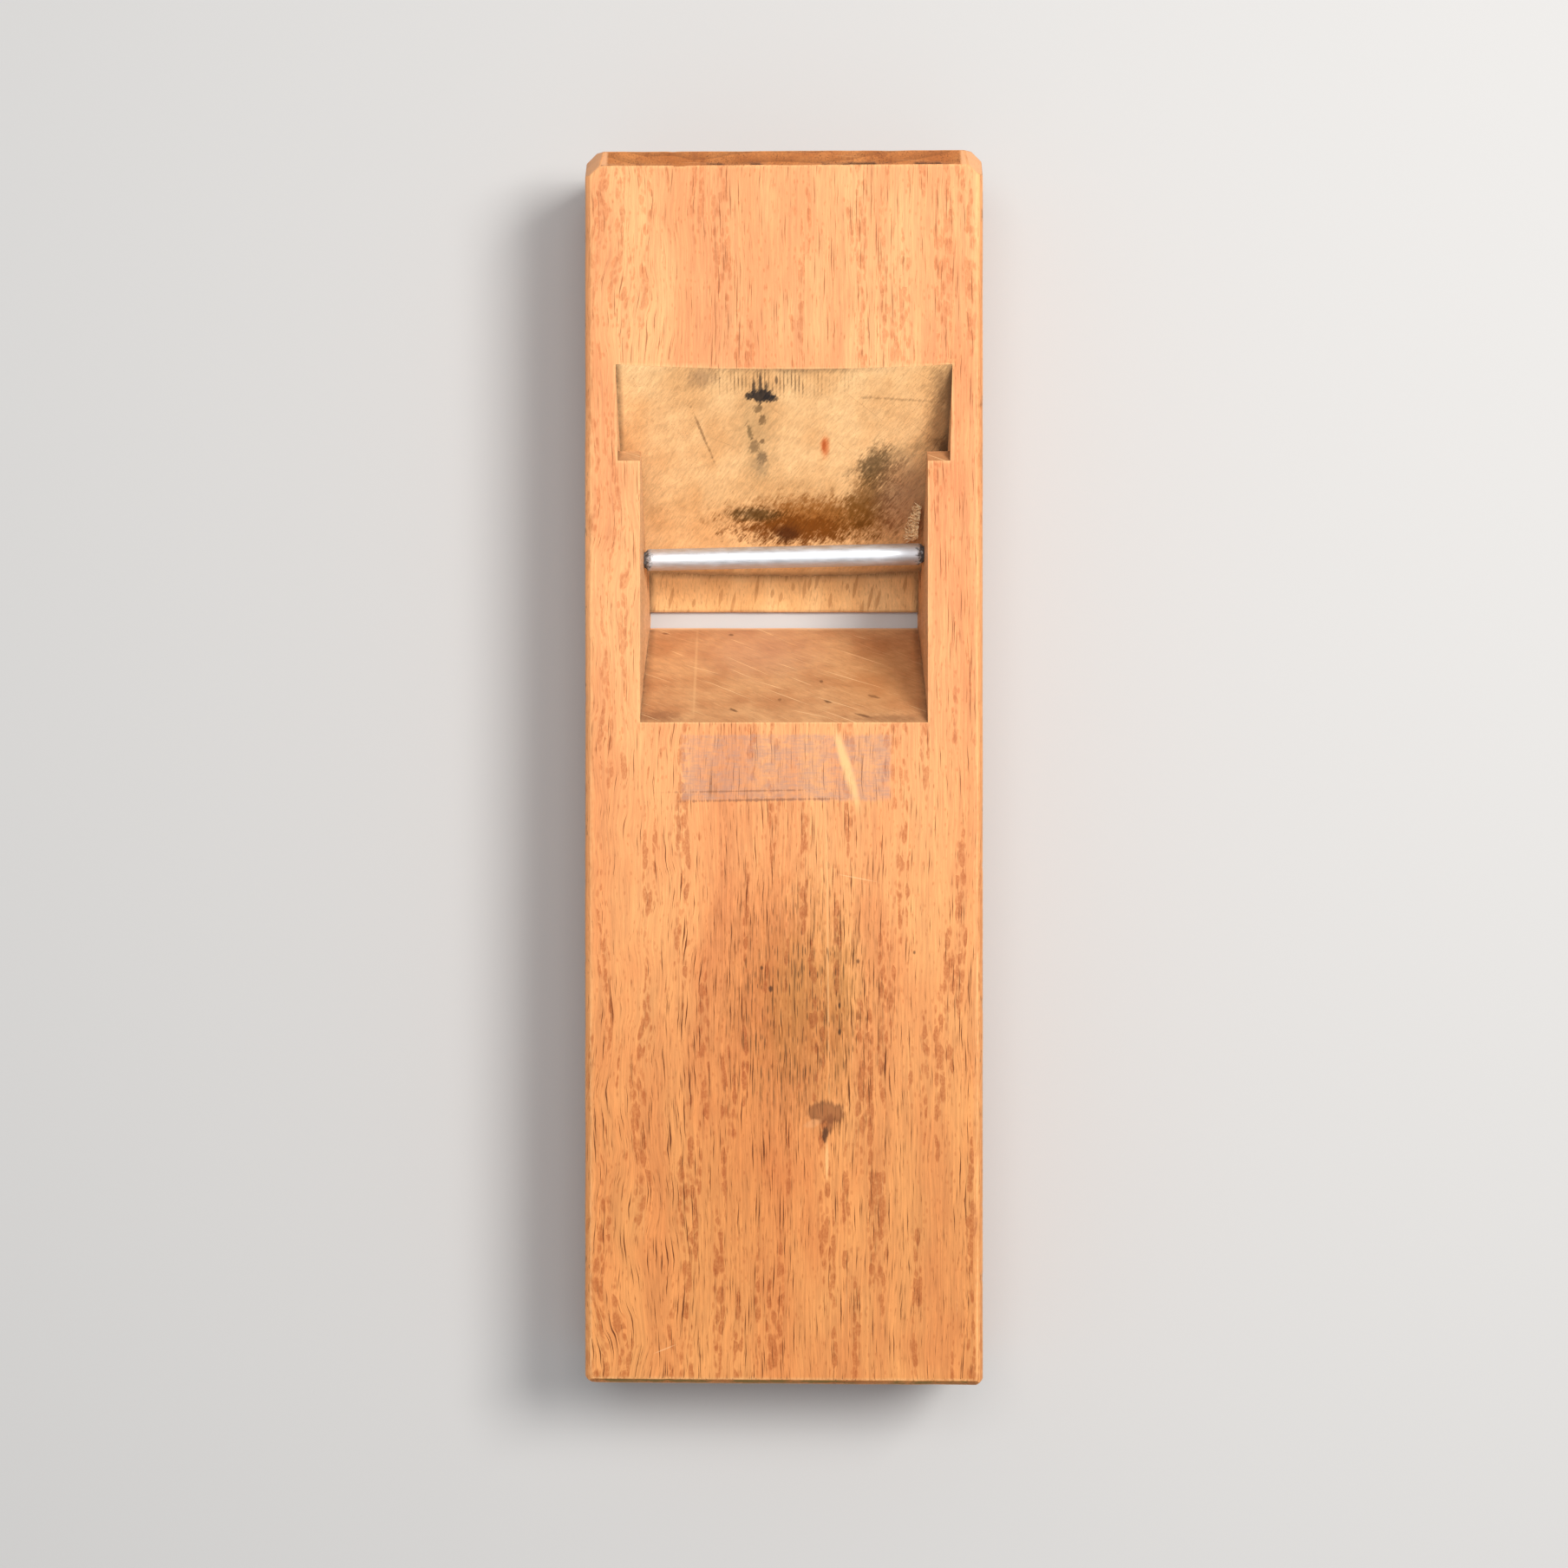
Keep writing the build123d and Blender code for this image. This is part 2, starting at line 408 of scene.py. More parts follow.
def oakColour(bench, place, wood):
    # base colour and relief of the oak before any stain
    fed = {"Place": place, "Fleck Amount": wood["fleckAmount"], "Pore Amount": wood["poreAmount"]}
    figured = bench.use(oakFigure, fed)
    colour = bench.blend(bench.ramp(figured["Tone"], 0.36, 0.64), wood["light"], wood["dark"])
    fibre = bench.ramp(figured["Fibre"], 0.32, 0.68, -0.5, 0.5)
    shade = bench.plus(1.0, bench.times(fibre, wood["fibreDepth"]))
    colour = bench.dim(colour, shade)
    ring = bench.plus(1.0, bench.times(figured["Ring"], -wood["ringDepth"]))
    colour = bench.dim(colour, ring)
    small = bench.times(figured["Small Fleck"], wood["smallFleckDepth"])
    colour = bench.blend(small, colour, wood["fleck"])
    mottle = bench.cloud(place, (0.35, 0.7, 0.5), 2.0, 0.6)
    # headFigure, where a surface has it, makes the figure fainter at the head
    headward = bench.ramp(bench.split(place)[1], -30, 30, 1.0, wood.get("headFigure", 1.0))
    deepest = wood["fleckDepth"]
    deep = bench.times(figured["Fleck"], bench.ramp(mottle, 0.3, 0.65, deepest * 0.55, deepest))
    colour = bench.blend(bench.times(deep, headward), colour, wood["fleck"])
    deep = bench.times(figured["Pore"], wood["poreDepth"])
    colour = bench.blend(bench.times(deep, headward), colour, wood["pore"])
    relief = bench.plus(bench.times(figured["Pore"], -0.05), bench.times(figured["Fibre"], 0.05))
    relief = bench.plus(relief, bench.times(figured["Fleck"], -0.015))
    return colour, relief, figured


def finishOak(bench, surface, colour, relief, figured, wood):
    roughness = wood["roughness"]
    bench.feed(surface.inputs["Base Color"], colour)
    sheen = bench.ramp(figured["Fibre"], 0.3, 0.7, roughness - 0.06, roughness + 0.08)
    bench.feed(surface.inputs["Roughness"], bench.plus(sheen, bench.times(figured["Pore"], 0.15)))
    bump = bench.add("Bump", {"Height": relief, "Strength": 0.8, "Distance": wood["bump"] * mm})
    bench.feed(surface.inputs["Normal"], bump.outputs[0])
    surface.inputs["Specular IOR Level"].default_value = 0.15


# reads a vertex attribute by name: hollow, near inner corners, which carries dirt and painted shade; arris,
# near arrises, which carries wear, painted highlight and painted shade
def readAttribute(bench, name):
    return bench.add("Attribute", attribute_name=name).outputs["Fac"]


face = {
    "light": tint(227, 165, 106), "dark": tint(217, 148, 93),
    "fleck": tint(166, 90, 42), "pore": tint(96, 46, 18),
    "fleckAmount": 1.0, "poreAmount": 1.0, "ringDepth": 0.08, "fibreDepth": 0.32,
    "smallFleckDepth": 0.34, "fleckDepth": 0.64, "poreDepth": 0.90, "headFigure": 0.62,
    "roughness": 0.52, "bump": 1.0,
    "patches": [
        spot((41, 40), (8, 62), (246, 230, 226), 0.85, 0.8, soft=0.9, mode="MULTIPLY"),
        spot((31, -100), (17, 52), (245, 243, 244), 0.85, 0.8, soft=0.9, mode="MULTIPLY"),
        spot((-8, -72), (17, 62), (240, 222, 212), 0.9, 0.7, soft=0.95, mode="MULTIPLY"),
        spot((4, -52), (16, 24), (226, 222, 200), 0.8, 1.4, soft=0.9, mode="MULTIPLY"),
        spot((2, -56), (6, 15), (222, 222, 200), 0.45, 1.5, soft=0.9, mode="MULTIPLY"),
        spot((12, -56), (4, 17), (218, 216, 196), 0.55, 1.5, soft=0.9, mode="MULTIPLY"),
        spot((-5.0, -7.6), (17.0, 0.3), (118, 72, 46), 0.6, 2.4, soft=0.6, turn=1),
        spot((-9.0, -5.6), (14.0, 0.22), (124, 78, 52), 0.5, 2.6, soft=0.6, turn=1),
        spot((14.0, 0.2), (1.15, 10.0), (236, 186, 124), 0.7, 0.6, soft=0.6, turn=16.5),
        spot((9.9, -44), (0.22, 30.0), (240, 186, 128), 0.35, 1.8, soft=0.9, turn=0.5),
        spot((16.4, -25.2), (4.3, 0.16), (238, 190, 140), 0.35, 0.5, soft=0.5, turn=-11),
        spot((-26.8, -131.5), (2.6, 0.16), (238, 190, 140), 0.35, 0.4, soft=0.5, turn=22),
        spot((9.7, -89), (0.4, 4.6), (236, 184, 124), 0.5, 0.5),
        spot((9.5, -78.2), (4.3, 2.7), (92, 48, 22), 0.7, 0.9, soft=0.25),
        spot((9.5, -78.1), (3.3, 1.9), (160, 98, 54), 0.62, 1.5, soft=0.5),
        spot((10.4, -80.6), (1.3, 1.9), (120, 66, 32), 0.75, 1.6, soft=0.4),
        spot((9.3, -83.0), (0.6, 1.9), (56, 26, 10), 0.85, 2.0, soft=0.5, turn=-6),
        spot((6.6, -80.6), (2.0, 0.9), (206, 140, 88), 0.75, 1.0, soft=0.4, turn=20),
        spot((-3.0, -50.2), (0.55, 0.8), (48, 22, 6), 0.8, 0.9),
        spot((-5.0, -45.5), (0.4, 0.55), (48, 22, 6), 0.7, 0.9),
        spot((12.5, -54.0), (0.33, 0.8), (44, 20, 6), 0.8, 0.8),
        spot((12.5, -60.0), (0.33, 0.7), (44, 20, 6), 0.8, 0.8),
        spot((29.4, -42.0), (0.35, 0.5), (48, 22, 6), 0.7, 0.8),
        spot((16.7, -44.0), (0.35, 0.6), (48, 22, 6), 0.7, 0.8),
    ],
    "marks": [
        {"turn": -3, "spacing": 9, "length": 26, "width": 0.16, "amount": 0.30, "strength": 0.25,
         "colour": tint(240, 186, 128), "slant": 0.12},
    ],
    "grimeLines": {
        "within": {"at": (4, -54), "half": (18, 29), "ragged": 1.2, "soft": 0.7, "turn": 0.0},
        "lines": [
            {"turn": 0, "spacing": 0.95, "length": 9, "width": 0.34, "amount": 0.60, "strength": 0.85,
             "colour": tint(84, 52, 22), "slant": 0.02},
            {"turn": 1, "spacing": 0.6, "length": 6, "width": 0.24, "amount": 0.6, "strength": 0.75,
             "colour": tint(70, 40, 18), "slant": 0.02},
        ],
    },
    "paste": {"at": (0.5, -0.3), "half": (24.0, 7.8), "border": 0.8, "colour": tint(168, 130, 112),
              "strength": 0.72},
}


def addPaste(bench, place, colour, paste, fray, over):
    # what a paper label left behind: a faint oblong, rubbed away in places, with lines of old paste
    centred = bench.add("VectorMath", {0: place, 1: (*paste["at"], 0.0)}, operation="SUBTRACT").outputs[0]
    x, y = bench.split(centred)[:2]
    wide, high = paste["half"]
    rough = bench.times(bench.plus(fray, -0.5), 2.2)
    sides = bench.ramp(bench.plus(bench.maths("ABSOLUTE", x), rough), wide, wide - paste["border"])
    ends = bench.ramp(bench.plus(bench.maths("ABSOLUTE", y), rough), high, high - paste["border"])
    oblong = bench.times(sides, ends)
    rubbed = bench.ramp(bench.cloud(place, (2.6, 1.9, 9), 5.0, 0.75), 0.36, 0.62, 0.30, 1.0)
    lines = bench.ramp(bench.cloud(place, (6.0, 0.36, 9), 3.0, 0.7), 0.40, 0.62, 0.62, 1.0)
    film = bench.times(bench.times(oblong, rubbed), bench.times(lines, paste["strength"]))
    return bench.blend(bench.times(film, over), colour, paste["colour"])


def makeFaceOak():
    material, bench, surface, place = startMaterial("oak_face")
    colour, relief, figured = oakColour(bench, place, face)
    x, y, z = bench.split(place)
    # pinker towards the head, deeper orange towards the tail
    warm = bench.blend(bench.ramp(y, 60, -110), (1.0, 0.93, 1.0, 1), (0.83, 0.71, 0.57, 1))
    colour = bench.blend(1.0, colour, warm, "MULTIPLY")
    onTop = bench.ramp(z, topHeight / mm - 0.8, topHeight / mm - 0.3)
    fray = bench.times(figured["Fibre"], 0.5)
    fray = bench.plus(fray, bench.times(bench.cloud(place, (1.3, 3.4, 3), 3.0, 0.6), 0.5))
    colour = addPaste(bench, place, colour, face["paste"], fray, onTop)
    colour = addPatches(bench, place, colour, fray, face["patches"], onTop)
    colour = addMarks(bench, place, colour, face["marks"], onTop)
    grimy = bench.times(onTop, ovalMask(bench, place, fray, face["grimeLines"]["within"]))
    colour = addMarks(bench, place, colour, face["grimeLines"]["lines"], grimy)
    # handled sides and arrises: browner, with dark dents, painted light and shade across the sides, and wear
    # with a painted highlight along the arrises
    lit = bench.ramp(x, -44, 44, 1.26, 0.80)        # painted light and shade: the left side lightened and the right darkened, against the key light from the right
    offTop = bench.maths("SUBTRACT", 1.0, onTop)
    colour = bench.blend(offTop, colour, bench.join(lit, lit, lit), "MULTIPLY")
    colour = bench.blend(bench.times(offTop, 0.40), colour, tint(200, 126, 78))
    dents = bench.ramp(bench.cloud(place, (1.6, 4.2, 1.6), 3.0, 0.6), 0.60, 0.72)
    colour = bench.blend(bench.times(bench.times(offTop, dents), 0.6), colour, tint(104, 68, 46))
    # paler along the arrises: wear and a painted highlight
    arrisWearAndShading = bench.times(readAttribute(bench, "arris"), bench.ramp(figured["Fibre"], 0.4, 0.6, 0.25, 0.7))
    colour = bench.blend(arrisWearAndShading, colour, tint(238, 182, 124))
    finishOak(bench, surface, colour, relief, figured, face)
    return material


endGrain = {
    "light": tint(196, 124, 68), "dark": tint(172, 100, 50),
    "fleck": tint(136, 74, 38), "pore": tint(84, 46, 24),
    "fleckAmount": 0.9, "poreAmount": 1.2, "ringDepth": 0.34, "fibreDepth": 0.30,
    "smallFleckDepth": 0.3, "fleckDepth": 0.45, "poreDepth": 0.6, "roughness": 0.5, "bump": 0.8,
    "marks": [
        {"turn": 86, "spacing": 2.2, "length": 16, "width": 0.14, "amount": 0.4, "strength": 0.3,
         "colour": tint(236, 176, 124)},
    ],
}


def makeEndOak():
    material, bench, surface, place = startMaterial("oak_end")
    colour, relief, figured = oakColour(bench, place, endGrain)
    colour = addMarks(bench, place, colour, endGrain["marks"])
    x, y, z = bench.split(place)
    # the cut corners of the head are paler, the tail a little greenish
    corner = bench.ramp(bench.maths("ABSOLUTE", x), blockHigh.x / mm - 5.4, blockHigh.x / mm - 4.6)
    colour = bench.blend(bench.times(corner, bench.ramp(y, 0, 1, 0, 0.75)), colour, tint(232, 172, 124))
    tailTop = bench.times(bench.ramp(y, 0, -1), bench.ramp(z, topHeight / mm - 3.5, topHeight / mm - 0.5))
    patchy = bench.ramp(bench.cloud(place, (5, 2, 2), 3.0, 0.65), 0.42, 0.56, 0.25, 0.95)
    tailTop = bench.times(tailTop, patchy)
    colour = bench.blend(tailTop, colour, tint(104, 86, 38))
    # paler along the arrises: wear and a painted highlight
    arrisWearAndShading = bench.times(readAttribute(bench, "arris"), 0.4)
    colour = bench.blend(arrisWearAndShading, colour, tint(226, 160, 112))
    finishOak(bench, surface, colour, relief, figured, endGrain)
    return material


bed = {
    "light": tint(238, 191, 135), "dark": tint(221, 169, 113),
    "fleck": tint(170, 116, 70), "pore": tint(116, 74, 44),
    "fleckAmount": 0.7, "poreAmount": 0.8, "ringDepth": 0.07, "fibreDepth": 0.05,
    "smallFleckDepth": 0.10, "fleckDepth": 0.10, "poreDepth": 0.22, "roughness": 0.7, "bump": 1.0,
    "fuzz": {"turn": -40, "size": (0.28, 1.5), "depth": 0.30},
    # stains, with the painted shadows of the right cheek marked below
    "patches": [
        spot((0, 62), (34, 7), (196, 150, 96), 0.35, 0.8, soft=0.9),
        spot((8, 57.6), (21, 5.2), (140, 80, 8), 0.85, 1.6, soft=0.6),
        spot((3, 55.9), (14, 3.4), (110, 56, 0), 0.8, 2.2, soft=0.5),
        spot((-6.5, 58.8), (6.5, 1.6), (84, 60, 26), 0.8, 1.6, soft=0.6),
        spot((0.5, 54.6), (3.4, 2.1), (70, 34, 12), 0.75, 1.0, soft=0.7),
        spot((19.5, 62.0), (5.2, 9.0), (112, 70, 20), 0.78, 2.0, soft=0.7, turn=-34),
        spot((21.5, 69.0), (3.6, 4.6), (92, 66, 34), 0.75, 2.0, soft=0.7),
        spot((24, 71), (8.5, 2.2), (104, 82, 54), 0.5, 1.6, soft=0.8, turn=20),
        # painted shadow: the right cheek's soft shade over the bed's right part
        spot((28.5, 62), (6.5, 8.5), (168, 118, 88), 0.55, 0.4, soft=0.8),
        # painted shadow: the wedge that the right wall of the wide throat casts down the bed's right edge,
        # here and on the next line at its top corner
        spot((36.0, 77), (3.4, 13), (112, 80, 50), 0.5, 1.2, soft=0.8),
        spot((37.0, 86.5), (4.2, 4.6), (104, 78, 52), 0.45, 1.2, soft=0.8),
        spot((27.0, 83.4), (9.0, 0.28), (112, 80, 50), 0.38, 3.0, soft=0.8, turn=-3),
        # painted shadow: the dark core of that wedge
        spot((37.2, 72.0), (2.2, 4.0), (58, 38, 24), 0.75, 1.2, soft=0.6),
        spot((-6.2, 75.5), (4.6, 9.5), (180, 146, 100), 0.5, 1.2, soft=0.9, turn=4),
        spot((-5.2, 84.1), (3.2, 1.4), (40, 36, 36), 0.95, 1.9, soft=0.4),
        spot((-6.9, 86.0), (0.45, 2.0), (52, 44, 40), 0.8, 1.2, soft=0.5),
        spot((-5.4, 86.6), (0.4, 2.3), (52, 44, 40), 0.8, 1.2, soft=0.5),
        spot((-4.0, 85.7), (0.4, 1.6), (52, 44, 40), 0.8, 1.2, soft=0.5),
        spot((-2.9, 83.6), (1.6, 0.7), (40, 36, 36), 0.85, 1.6, soft=0.5),
        spot((-1.7, 87.4), (0.35, 1.0), (64, 52, 44), 0.7, 1.2, soft=0.5),
        spot((-5.9, 81.4), (1.0, 1.0), (74, 54, 34), 0.6, 2.8, soft=0.5),
        spot((-5.0, 79.0), (0.7, 1.2), (84, 58, 34), 0.6, 2.6, soft=0.5),
        spot((-7.9, 76.6), (0.6, 2.0), (80, 68, 42), 0.62, 2.4, soft=0.6, turn=14),
        spot((-4.9, 74.6), (0.6, 0.6), (76, 52, 32), 0.6, 2.2, soft=0.5),
        spot((-6.7, 73.4), (1.2, 1.6), (84, 66, 44), 0.55, 2.8, soft=0.6, turn=24),
        spot((-4.9, 71.2), (1.2, 1.3), (76, 60, 46), 0.6, 2.8, soft=0.6, turn=24),
        spot((-5.6, 69.6), (2.0, 2.4), (140, 116, 84), 0.5, 1.6, soft=0.9),
        spot((9.4, 73.5), (1.1, 2.4), (206, 104, 48), 0.75, 1.0, soft=0.6),
        spot((9.2, 73.7), (0.5, 1.2), (170, 74, 26), 0.7, 0.8, soft=0.5),
        spot((-18.7, 76.2), (0.3, 6.6), (120, 84, 50), 0.6, 2.4, soft=0.8, turn=24),
        spot((-18.5, 88.2), (3.6, 2.2), (140, 106, 76), 0.55, 1.0, soft=0.8),
        spot((2.0, 89.8), (19, 1.0), (100, 76, 54), 0.5, 1.2, soft=0.9),
    ],
    "marks": [
        {"turn": 74, "spacing": 6, "length": 30, "width": 0.22, "amount": 0.5, "strength": 0.25,
         "colour": tint(196, 146, 96), "slant": 0.1},
        {"turn": 66, "spacing": 10, "length": 16, "width": 0.18, "amount": 0.35, "strength": 0.3,
         "colour": tint(140, 104, 70), "slant": 0.4},
    ],
    "comb": {
        "pitch": 0.86, "colour": tint(104, 76, 50), "strength": 0.75,
        "within": {"at": (-2.0, 87.0), "half": (16.5, 2.8), "ragged": 0.9, "soft": 0.7, "turn": 0.0},
    },
}


def fuzzOf(bench, place, fuzz):
    # short cut fibres that lie at a slant
    fed = {"Vector": place, "Rotation": turnOf(fuzz["turn"])}
    turned = bench.add("Mapping", fed, vector_type="TEXTURE").outputs[0]
    wide, long = fuzz["size"]
    fine = bench.cloud(turned, (wide, long, 2.0), 2.0, 0.6)
    coarse = bench.cloud(turned, (wide * 3, long * 2.4, 4.0), 2.0, 0.6)
    return bench.plus(bench.times(fine, 0.6), bench.times(coarse, 0.4))


def shadeBy(bench, colour, pattern, depth):
    shade = bench.ramp(pattern, 0.3, 0.7, 1.0 - depth / 2, 1.0 + depth / 2)
    return bench.dim(colour, shade)


def addComb(bench, place, colour, comb, fray):
    # upright strokes left along the bed's top edge by a chisel with a chipped edge
    x = bench.split(place)[0]
    uneven = bench.plus(x, bench.times(fray, 0.5))
    wave = bench.maths("SINE", bench.times(uneven, 2 * math.pi / comb["pitch"]))
    strokes = bench.times(bench.ramp(wave, 0.1, 0.8), ovalMask(bench, place, fray, comb["within"]))
    patchy = bench.ramp(bench.cloud(place, (2.2, 5, 9), 2.0), 0.38, 0.6, 0.2, 1.0)
    return bench.blend(bench.times(bench.times(strokes, patchy), comb["strength"]), colour, comb["colour"])


def makeBedOak():
    material, bench, surface, place = startMaterial("oak_bed")
    colour, relief, figured = oakColour(bench, place, bed)
    fuzz = fuzzOf(bench, place, bed["fuzz"])
    blotch = bench.cloud(place, (2.0, 1.7, 3.0), 5.0, 0.72)
    fray = bench.plus(bench.times(fuzz, 0.5), bench.times(blotch, 0.5))
    colour = addMarks(bench, place, colour, bed["marks"])
    colour = addComb(bench, place, colour, bed["comb"], fray)
    colour = addPatches(bench, place, colour, fray, bed["patches"])
    colour = shadeBy(bench, colour, fuzz, bed["fuzz"]["depth"])
    dust = bench.ramp(bench.cloud(place, (0.5, 0.6, 0.6), 3.0, 0.7), 0.66, 0.74)
    colour = bench.blend(bench.times(dust, 0.4), colour, tint(110, 80, 54))
    # dirt and painted shade in the inner corners
    darkening = bench.times(readAttribute(bench, "hollow"), bench.ramp(fray, 0.35, 0.6, 0.35, 0.8))
    colour = bench.blend(darkening, colour, tint(104, 76, 52))
    relief = bench.plus(relief, bench.times(fuzz, 0.16))
    finishOak(bench, surface, colour, relief, figured, bed)
    return material


tongue = {
    "light": tint(234, 186, 128), "dark": tint(218, 164, 106),
    "fleck": tint(150, 100, 56), "pore": tint(130, 86, 50),
    "fleckAmount": 0.5, "poreAmount": 0.9, "ringDepth": 0.05, "fibreDepth": 0.22,
    "smallFleckDepth": 0.2, "fleckDepth": 0.15, "poreDepth": 0.35, "roughness": 0.6, "bump": 0.8,
    "marks": [
        {"turn": -10, "spacing": 2.9, "length": 8.5, "width": 1.15, "amount": 0.66, "strength": 0.50,
         "colour": tint(158, 106, 58), "slant": 0.12},
        {"turn": -8, "spacing": 1.4, "length": 5, "width": 0.45, "amount": 0.6, "strength": 0.35,
         "colour": tint(176, 126, 76), "slant": 0.15},
    ],
}


def makeTongueOak():
    material, bench, surface, place = startMaterial("oak_tongue")
    colour, relief, figured = oakColour(bench, place, tongue)
    colour = addMarks(bench, place, colour, tongue["marks"])
    # dirt and painted shade in the inner corners
    darkening = bench.times(readAttribute(bench, "hollow"), bench.ramp(figured["Fibre"], 0.35, 0.6, 0.3, 0.8))
    colour = bench.blend(darkening, colour, tint(104, 76, 52))
    edge = bench.times(readAttribute(bench, "arris"), 0.55)
    colour = bench.blend(edge, colour, tint(96, 70, 48))
    finishOak(bench, surface, colour, relief, figured, tongue)
    return material


slope = {
    "light": tint(206, 154, 106), "dark": tint(186, 130, 86),
    "fleck": tint(150, 104, 68), "pore": tint(100, 66, 42),
    "fleckAmount": 0.6, "poreAmount": 0.7, "ringDepth": 0.08, "fibreDepth": 0.05,
    "smallFleckDepth": 0.12, "fleckDepth": 0.12, "poreDepth": 0.2, "roughness": 0.55, "bump": 0.9,
    "fuzz": {"turn": 68, "size": (0.30, 2.4), "depth": 0.20},
    "patches": [
        spot((-6, 27), (14, 6), (198, 148, 120), 0.35, 0.8, soft=0.9),
        spot((22, 20), (11, 9), (180, 120, 66), 0.4, 0.8, soft=0.9),
        spot((-20.5, 22), (0.35, 11), (226, 178, 126), 0.4, 0.5, soft=0.7),
        spot((-1.0, 15.2), (0.5, 0.35), (110, 72, 44), 0.6, 1.6),
        spot((10.0, 14.8), (0.9, 0.35), (84, 54, 34), 0.75, 1.8, turn=-14),
        spot((8.6, 19.6), (0.4, 0.4), (96, 62, 40), 0.6, 1.6),
        spot((-11.5, 12.8), (1.0, 0.3), (84, 54, 34), 0.7, 1.8, turn=-20),
        spot((17.8, 11.5), (1.7, 0.3), (96, 62, 40), 0.7, 1.6, turn=-14),
        spot((20.5, 16.0), (1.3, 0.28), (110, 72, 44), 0.6, 1.8, turn=-16),
        spot((-12.5, 31.2), (0.6, 0.25), (90, 58, 36), 0.6, 1.6),
        spot((-28.0, 31.6), (0.8, 0.3), (110, 66, 40), 0.6, 1.6),
        spot((-28.5, 11.4), (5, 1.4), (132, 84, 56), 0.6, 1.1, soft=0.8),
        spot((24, 10.8), (10, 1.0), (126, 84, 56), 0.5, 1.1, soft=0.8),
    ],
    "marks": [
        {"turn": 72, "spacing": 2.4, "length": 15, "width": 0.17, "amount": 0.55, "strength": 0.65,
         "colour": tint(244, 200, 148), "slant": 0.25},
        {"turn": 70, "spacing": 1.1, "length": 9, "width": 0.11, "amount": 0.5, "strength": 0.4,
         "colour": tint(236, 190, 138), "slant": 0.2},
        {"turn": 74, "spacing": 3.0, "length": 14, "width": 0.14, "amount": 0.4, "strength": 0.35,
         "colour": tint(134, 92, 62), "slant": 0.25},
    ],
}


def makeSlopeOak():
    material, bench, surface, place = startMaterial("oak_slope")
    colour, relief, figured = oakColour(bench, place, slope)
    fuzz = fuzzOf(bench, place, slope["fuzz"])
    colour = shadeBy(bench, colour, fuzz, slope["fuzz"]["depth"])
    fray = bench.plus(bench.times(fuzz, 0.4), bench.times(bench.cloud(place, (1.6, 1.4, 2), 4.0, 0.65), 0.6))
    colour = addPatches(bench, place, colour, fray, slope["patches"])
    colour = addMarks(bench, place, colour, slope["marks"])
    # dirt and painted shade in the inner corners
    darkening = bench.times(readAttribute(bench, "hollow"), bench.ramp(fray, 0.35, 0.6, 0.3, 0.75))
    colour = bench.blend(darkening, colour, tint(110, 72, 48))
    z = bench.split(place)[2]
    # painted highlight along the slope's lower edge
    lipHighlight = bench.times(readAttribute(bench, "arris"), bench.ramp(z, 6, 2))
    colour = bench.blend(bench.times(lipHighlight, 0.8), colour, tint(240, 196, 150))
    relief = bench.plus(relief, bench.times(fuzz, 0.05))
    finishOak(bench, surface, colour, relief, figured, slope)
    return material


cheek = {
    "light": tint(232, 184, 136), "dark": tint(213, 163, 116),
    "fleck": tint(168, 116, 76), "pore": tint(110, 72, 44),
    "fleckAmount": 0.9, "poreAmount": 1.0, "ringDepth": 0.14, "fibreDepth": 0.18,
    "smallFleckDepth": 0.25, "fleckDepth": 0.3, "poreDepth": 0.5, "roughness": 0.6, "bump": 0.9,
}


def makeCheekOak():
    material, bench, surface, place = startMaterial("oak_cheek")
    colour, relief, figured = oakColour(bench, place, cheek)
    chisel = bench.cloud(place, (3, 0.8, 7), 3.0, 0.6)
    colour = shadeBy(bench, colour, chisel, 0.16)
    # dirt and painted shade in the inner corners
    darkening = bench.times(readAttribute(bench, "hollow"), bench.ramp(chisel, 0.35, 0.6, 0.4, 0.9))
    colour = bench.blend(darkening, colour, tint(92, 60, 40))
    # darker along the arrises: wear and painted shade
    arrisWearAndShading = bench.times(readAttribute(bench, "arris"), bench.ramp(chisel, 0.4, 0.6, 0.2, 0.6))
    colour = bench.blend(arrisWearAndShading, colour, tint(176, 116, 80))
    relief = bench.plus(relief, bench.times(chisel, 0.12))
    finishOak(bench, surface, colour, relief, figured, cheek)
    return material


oakMaterials = {
    "face": makeFaceOak(), "end": makeEndOak(), "bed": makeBedOak(), "tongue": makeTongueOak(),
    "slope": makeSlopeOak(), "cheek": makeCheekOak(),
}
print("oak materials are made:", ", ".join(oakMaterials))


# Block mesh: the CAD shape with rounded arrises, an even grid and the marks of use

block = {
    "outerRound": 0.30 * mm,
    "throatRound": 0.16 * mm,
    "roundSegments": 2,
    "grid": (1.25 * mm, 1.0 * mm, 2.0 * mm),     # across, along and up
    "wave": 0.06 * mm,                           # unevenness of the planed surfaces
    "wavePitch": 16 * mm,
    "chiselWave": 0.10 * mm,                     # unevenness of the chiselled surfaces
    "chiselPitch": 4.5 * mm,
    "arrisWear": 0.14 * mm,
    "wearPitch": 7 * mm,
    "wearReach": 0.9 * mm,
    "arrisGlow": 0.5 * mm,
    "hollowReach": 1.5 * mm,
    "endSkew": (0.45 * mm, 0.65 * mm),           # how much shorter the left side is at head and tail
    "skewReach": 42 * mm,
    "nicks": 70,
    "nickSize": (0.6 * mm, 1.8 * mm),
    "nickDepth": (0.06 * mm, 0.24 * mm),
    "nickGrain": 0.5 * mm,
    "seed": 11,
    "traceStep": 0.4 * mm,                       # between points set along an edge
    "bentFrom": 0.2,                             # radians; an edge bent less than this is no arris
    "flatWithin": 0.003,                         # radians; faces that differ by less are joined
    "mergeBefore": 1e-6,
    "mergeAfter": 2e-6,
    "cutMargin": 1e-7,
}
